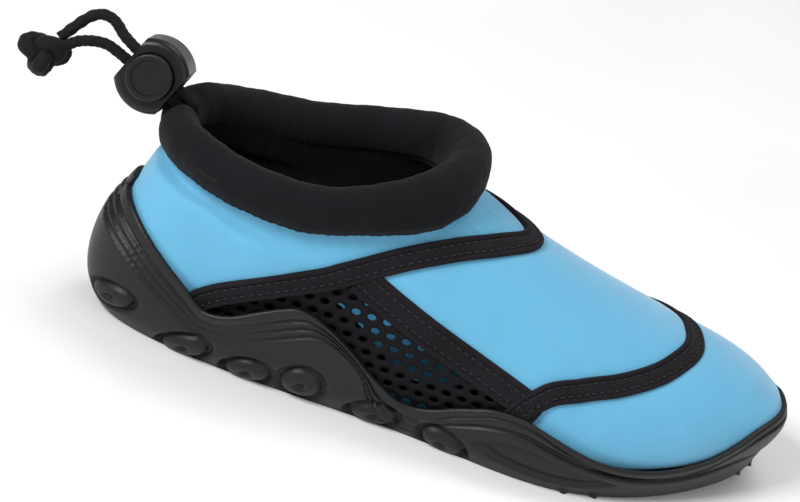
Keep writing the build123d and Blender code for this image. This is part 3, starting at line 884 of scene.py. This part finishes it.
def add_net():
    """Coarse net panels with real holes, between the tapes and the rim."""
    middles = []
    for j in range(NET_DOWN):
        for i in range(NET_ACROSS):
            middles.append((NET_START[0] + NET_PITCH * (i + 0.5 * (j % 2)), NET_START[1] + NET_ROW * j))
    x, z = np.array(middles).T
    keep = (side_of(UPPER_SEAM, UPPER_APEX, x, z) > 0) & (side_of(VAMP_SEAM, VAMP_APEX, x, z) < 0)
    keep &= (z < np.interp(x, *np.array(SIDE_SEAM).T) + 1) & (x < 120)
    keep &= z > on_line(x, RIM_LINE) - 4
    cells = [net_cell(a, b) for a, b in zip(x[keep], z[keep])]
    edges = np.concatenate([c[0] for c in cells])
    holes = np.concatenate([c[1] for c in cells])
    count = len(cells) * NET_SIDES
    ring = np.arange(count).reshape(-1, NET_SIDES)
    following = np.roll(ring, -1, 1)
    faces = np.stack([ring, following, following + count, ring + count], -1).reshape(-1, 4)
    for side, sign in (("lateral", -1), ("medial", 1)):
        u, h = side_places(np.r_[edges[:, 0], holes[:, 0]], np.r_[edges[:, 1], holes[:, 1]], sign)
        lift = np.r_[np.full(count, -0.15), np.full(count, -0.55)]
        points = upper(u, h) + upper_normal(u, h) * lift[:, None]
        made = piece(f"net_{side}", points, faces[:, ::-sign], NET, "mesh", replaces=[f"mesh_panel_{side}"])
        weld = made.modifiers.new("joined", "WELD")
        weld.merge_threshold = NET_WELD / 1000
        thicken(made, NET_THICK)
        smooth_over = made.modifiers.new("round", "SUBSURF")
        smooth_over.levels = 1
        smooth_over.render_levels = 1


add_panels()
add_lining()
add_tapes()
add_net()


# ---- collar ----
COLLAR_REACH = 32


def collar_grid(columns=640, around=48):
    """The padded roll as rings of points, fuller at its outer front, softly folded and gathered below."""
    u = np.linspace(-math.pi, math.pi, columns, endpoint=False)[:, None]
    v = np.linspace(0, 2 * math.pi, around, endpoint=False)[None]
    front = (0.5 + 0.5 * np.cos(u)) ** 3
    thick = ROLL_THICK[0] + (ROLL_THICK[1] - ROLL_THICK[0]) * front
    high = ROLL_HIGH[0] + (ROLL_HIGH[1] - ROLL_HIGH[0]) * front
    along = u * COLLAR_REACH
    folds = 0.10 * np.sin(along * 0.31 + 1.5 * np.sin(v)) + 0.07 * np.sin(along * 0.77 + 2 * v)
    folds = folds + 0.03 * np.sin(along * 1.9 - v)
    under = np.exp(-((v - 1.5 * math.pi) / 0.45) ** 2)
    gathers = 0.16 * under * np.sin(along * 3.2 + np.sin(along * 0.3))
    outer_front = np.exp(-((u + 0.62) / 0.42) ** 2) * np.exp(-((v - 1.62 * math.pi) / 0.8) ** 2)
    seam_line = sum(-0.55 * np.exp(-((v - turn * math.pi) / 0.10) ** 2) for turn in (1.72, 1.28))
    back_seam = -0.8 * np.exp(-(((np.abs(u) - math.pi) * 20) / 0.9) ** 2)
    grow = folds + gathers + 2.6 * outer_front + seam_line + back_seam
    centre = collar(u[:, 0])
    out = level_normal(collar, u[:, 0])
    ring = out[:, None] * ((thick + grow) * np.cos(v))[..., None]
    ring = ring + UP * ((high + grow) * np.sin(v))[..., None]
    return u, v, centre[:, None] + ring


def add_collar():
    u, v, points = collar_grid()
    uv = np.stack(np.broadcast_arrays(u * COLLAR_REACH, v * 6), -1)
    index = np.arange(points.shape[0] * points.shape[1]).reshape(points.shape[:2])
    index = np.vstack([index, index[:1]])
    index = np.hstack([index, index[:, :1]])
    faces = np.stack([index[:-1, :-1], index[1:, :-1], index[1:, 1:], index[:-1, 1:]], -1).reshape(-1, 4)
    faces = faces[:, ::-1]
    roll = piece("collar_roll", points, faces, COLLAR_CLOTH, "collar", replaces=["collar_binding"], uv=uv)


add_collar()


# ---- sole ----
WALL_ROWS = 72
LIP_ROUND = 0.9
FLOOR_GAP = 0.02
TREAD_PITCH = 14.8
TREAD_SLANT = math.radians(6)
TREAD_START = 26
TREAD_WAVE = 1.6
TREAD_DEPTH = 1.5
TREAD_BORDER = 1.1
ARCH = (70, 100)
TREAD_ROWS = 46
SOLE_COLUMNS = 900
TREAD_LEVELS = [(0, 8.0, 4.0), (4, 4.2, 1.6), (9, 1.4, 0.1)]
RIM_GROOVES = [3.2, 5.9, 8.4]
# x and z of each stud's middle, then half its length and height
STUDS = [
    (8.6, 8.5, 7.5, 4.2), (30.5, 3.0, 6.8, 5.2), (48.5, 3.4, 6.8, 5.2), (62.4, 5.6, 6.2, 6.2),
    (84, 3.4, 6.6, 5.0), (103.3, 2.6, 6.6, 5.0),
]
LENS_TOP = [(110, 8.0), (117, 11.4), (125, 11.7), (134, 10.3), (145, 8.2), (153, 6.2)]
LENS_BASE = [(110, 8.0), (116, 5.2), (125, 3.8), (135, 3.2), (145, 4.0), (153, 6.2)]
LUG_ANGLES = [-66, -60, -20, -12, -3, 14, 24, 58, 66]
FOREFOOT_GROOVE = [
    (98, 7.0), (104, 10.5), (112, 14.0), (121, 15.3), (130, 13.6), (138, 11.8), (147, 9.8), (160, 8.2),
    (175, 8.8), (190, 12.0),
]


def wall_profiles(u):
    """For each angle, points up the sole's wall from the ground to the rim, evenly spaced, as rows."""
    heel = (0.5 - 0.5 * np.cos(u)) ** 2
    low = []
    for z, back, toe in TREAD_LEVELS:
        low.append(outline(u, -(toe + (back - toe) * heel)) + UP * z)
    h = np.linspace(0.12, 1, 60)
    high = [upper(u, np.full_like(u, k)) + upper_normal(u, np.full_like(u, k)) * CUP_WALL for k in h]
    rows = np.array(low + high)
    wall = np.zeros((WALL_ROWS, len(u), 3))
    for i in range(len(u)):
        line, _ = resample(through(rows[:, i], 400), 0.15)
        keep = line[:, 2] >= on_line(line[:, 0], GROUND_LINE)
        keep &= line[:, 2] <= rim_height(line[:, 0], u[i]) - LIP_ROUND
        line = line[keep]
        run = np.r_[0, np.cumsum(np.linalg.norm(np.diff(line, axis=0), axis=1))]
        even = np.linspace(0, run[-1], WALL_ROWS)
        wall[:, i] = np.stack([np.interp(even, run, line[:, k]) for k in range(3)], 1)
    return wall


def groove(distance, width, depth):
    return -depth * np.exp(-((distance / width) ** 2))


def wall_relief(wall, u):
    """Grooves under the rim, a lens-shaped recess along the forefoot and round studs along the ground."""
    x, y, z = np.moveaxis(wall, -1, 0)
    step = np.linalg.norm(np.diff(wall, axis=0), axis=-1)
    below = np.vstack([np.cumsum(step[::-1], 0)[::-1], np.zeros((1, wall.shape[1]))])
    heel = 1 - 0.75 * np.exp(-(((x - 41) / 11) ** 2))
    run_out = 1 / (1 + np.exp((x - 92) / 3))
    relief = sum(groove(below - d, 0.62, 1.15) for d in RIM_GROOVES) * heel * run_out
    forefoot = 1 / (1 + np.exp((100 - x) / 2))
    relief += groove(z - on_line(x, FOREFOOT_GROOVE), 0.7, 1.2) * forefoot
    relief += groove(below - 1.8, 0.45, 0.7) * forefoot
    top = on_line(x, LENS_TOP)
    base = on_line(x, LENS_BASE)
    inside = (x > LENS_TOP[0][0]) & (x < LENS_TOP[-1][0])
    depth = np.clip(np.minimum(top - z, z - base), 0, None)
    lens = 0.7 * np.clip((depth - 1.0) / 3, 0, 1) - 1.3 * np.clip(depth, 0, 1) ** 0.7
    relief += np.where(inside, lens, 0)
    for side in (-1, 1):  # outer side, inner side
        for cx, cz, half, tall in STUDS:
            near = (y * side > 0) | (cx < 12)
            spot = np.argmin(np.where(y * side > 0, (x - cx) ** 2 + (z - cz) ** 2, 1e9))
            row, col = np.unravel_index(spot, x.shape)
            centre = wall[row, col]
            along = unit(wall[row, (col + 3) % wall.shape[1]] - wall[row, col - 3])
            rise = unit(wall[min(row + 3, WALL_ROWS - 1), col] - wall[max(row - 3, 0), col])
            gap = wall - centre
            r = np.hypot(gap @ along / half, gap @ rise / tall)
            stud = groove(r - 1, 0.15, 1.9) + 0.9 * np.clip(1 - (r / 0.9) ** 2, 0, 1) + groove(r, 0.19, 1.9)
            relief += np.where(near & (np.linalg.norm(gap, axis=-1) < 2 * half), stud, 0)
    relief += 2.0 * np.exp(-(((x - 37) / 9) ** 2)) * np.exp(-((below / 2.6) ** 2))
    relief -= 0.9 * np.exp(-((below / 5.0) ** 2)) / (1 + np.exp((x - 22) / 4))
    lugs = sum(np.exp(-(((u - math.radians(a)) / 0.012) ** 2)) for a in LUG_ANGLES)
    relief += 1.2 * lugs * np.exp(-((np.arange(len(wall))[:, None] / 5.0) ** 2))
    return relief


def sole_normals(points):
    """Outward normals of a grid that is closed round, rows going up."""
    around = np.roll(points, -1, 1) - np.roll(points, 1, 1)
    rise = np.gradient(points, axis=0)
    return unit(np.cross(around, rise))


def tread(edge):
    """Rows from the sole's ground edge in to its middle line, with wavy grooves across."""
    spine_x = np.clip(edge[:, 0], 24, 172)
    spine_y = smooth(spine_x, [0, 90, 140, 200], [0, WAIST_SHIFT, BALL_SHIFT, TOE_SHIFT])
    spine = np.stack([spine_x, spine_y, on_line(spine_x, GROUND_LINE)], 1)
    part = np.linspace(0, 1, TREAD_ROWS)[1:, None, None]
    flat = edge[None] * (1 - part) + spine[None] * part
    x, y, z = np.moveaxis(flat, -1, 0)
    z = on_line(x, GROUND_LINE)
    inward = np.linalg.norm(flat - edge[None], axis=-1)
    phase = (x - TREAD_START - y * math.tan(TREAD_SLANT) + TREAD_WAVE * np.sin(y * 0.35)) / TREAD_PITCH
    gap = np.abs(phase - np.round(phase)) * TREAD_PITCH
    cut = TREAD_DEPTH / (1 + np.exp((gap - 1.3) / 0.22)) * np.where((x > ARCH[0]) & (x < ARCH[1]), 0, 1)
    cut = cut * np.clip((inward - 1.0) / 1.5, 0, 1)
    border = TREAD_BORDER * np.exp(-(((inward - 5.0) / 0.7) ** 2))
    return np.stack([x, y, np.maximum(z + np.maximum(cut, border), FLOOR_GAP)], -1)


def add_sole():
    u = np.linspace(-math.pi, math.pi, SOLE_COLUMNS, endpoint=False)
    wall = wall_profiles(u)
    relief = wall_relief(wall, u)
    normal = sole_normals(wall)
    edge_fade = np.clip(np.arange(WALL_ROWS) / 2, 0, 1)[:, None]
    outer = wall + normal * (relief * edge_fade)[..., None]
    outer[..., 2] = np.maximum(outer[..., 2], FLOOR_GAP)
    rise = unit(wall[-1] - wall[-3])
    lip = []
    centre = outer[-1] - normal[-1] * LIP_ROUND
    for turn in np.radians([30, 60, 90, 120, 150, 180]):
        lip.append(centre + normal[-1] * LIP_ROUND * math.cos(turn) + rise * LIP_ROUND * math.sin(turn))
    inside = [lip[-1] - rise * k - normal[-1] * 0.12 * k for k in (1, 2.5, 4, 5.5)]
    base = tread(outer[0])[::-1]
    points = np.concatenate([base, outer, lip, inside])
    faces = grid_faces(len(points), SOLE_COLUMNS, True)
    piece("rubber_sole", points, faces, RUBBER, "rubber", replaces=["outsole"])


add_sole()


# ---- CAD nodes that keep their shape ----
def dress(name, material):
    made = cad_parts[name]
    made.data.materials.clear()
    made.data.materials.append(material)


for name, material in (
    ("strobel_sock", SOCK_CLOTH), ("footbed", FOOTBED_CLOTH), ("lock_body", LOCK_PLASTIC),
    ("lock_button", LOCK_PLASTIC),
):
    dress(name, material)


SPRING_RADIUS = 3.8
SPRING_WIRE = 0.5
SPRING_TURNS = 3.5
SPRING_HIGH = 3.2
SPRING_SEAT = 6.95


def add_spring():
    """The coil under the lock's button."""
    turn = np.linspace(0, 2 * math.pi * SPRING_TURNS, 260)[:, None]
    depth = SPRING_SEAT - SPRING_WIRE / 2 - SPRING_HIGH * turn / turn[-1]
    radial = LOCK_ALONG * np.cos(turn) + LOCK_ACROSS * np.sin(turn)
    coil = LOCK_CENTRE + LOCK_PRESS * depth + SPRING_RADIUS * radial
    points, faces = braided(coil, SPRING_WIRE / 2, 0.3, 12, 0.0)
    made = piece(
        "spring_coil", points, faces, SPRING_STEEL, "spring_steel", body="cord_lock", replaces=["lock_spring"]
    )
    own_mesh(made)


add_spring()


# ---- floor and light ----
def add_light(name, size, power, place, colour=(1, 1, 1)):
    data = bpy.data.lights.new(name, "AREA")
    data.shape = "SQUARE"
    data.size = size
    data.energy = power
    data.color = colour
    lamp = bpy.data.objects.new(name, data)
    bpy.context.collection.objects.link(lamp)
    lamp.location = place
    aim = np.array([0, 0, 0.03]) - np.array(place)
    lamp.rotation_euler = Vector(aim).to_track_quat("-Z", "Y").to_euler()


def add_stage():
    mesh = bpy.data.meshes.new("floor")
    half = 4.0
    corners = [(-half, -half, 0), (half, -half, 0), (half, half, 0), (-half, half, 0)]
    mesh.from_pydata(corners, [], [(0, 1, 2, 3)])
    material, tree, shader, mm = new_material("floor", 0.9)
    shade = ramp(tree, noise(tree, mm, 120.0, 2.0), (0.86, 0.86, 0.87), (0.90, 0.90, 0.90), 0.3, 0.7)
    tree.links.new(shade, shader.inputs["Base Color"])
    mesh.materials.append(material)
    floor = bpy.data.objects.new("floor", mesh)
    bpy.context.collection.objects.link(floor)
    world = bpy.data.worlds.new("studio")
    world.use_nodes = True
    world.node_tree.nodes["Background"].inputs["Color"].default_value = (1, 1, 1, 1)
    world.node_tree.nodes["Background"].inputs["Strength"].default_value = 0.32
    bpy.context.scene.world = world
    add_light("key", 0.5, 17, (-0.9, -0.6, 0.95))
    add_light("fill", 1.2, 5, (0.7, -1.0, 0.7))
    add_light("top", 0.7, 7, (0.3, 0.35, 1.3))


add_stage()
bpy.context.scene.view_settings.view_transform = "Standard"
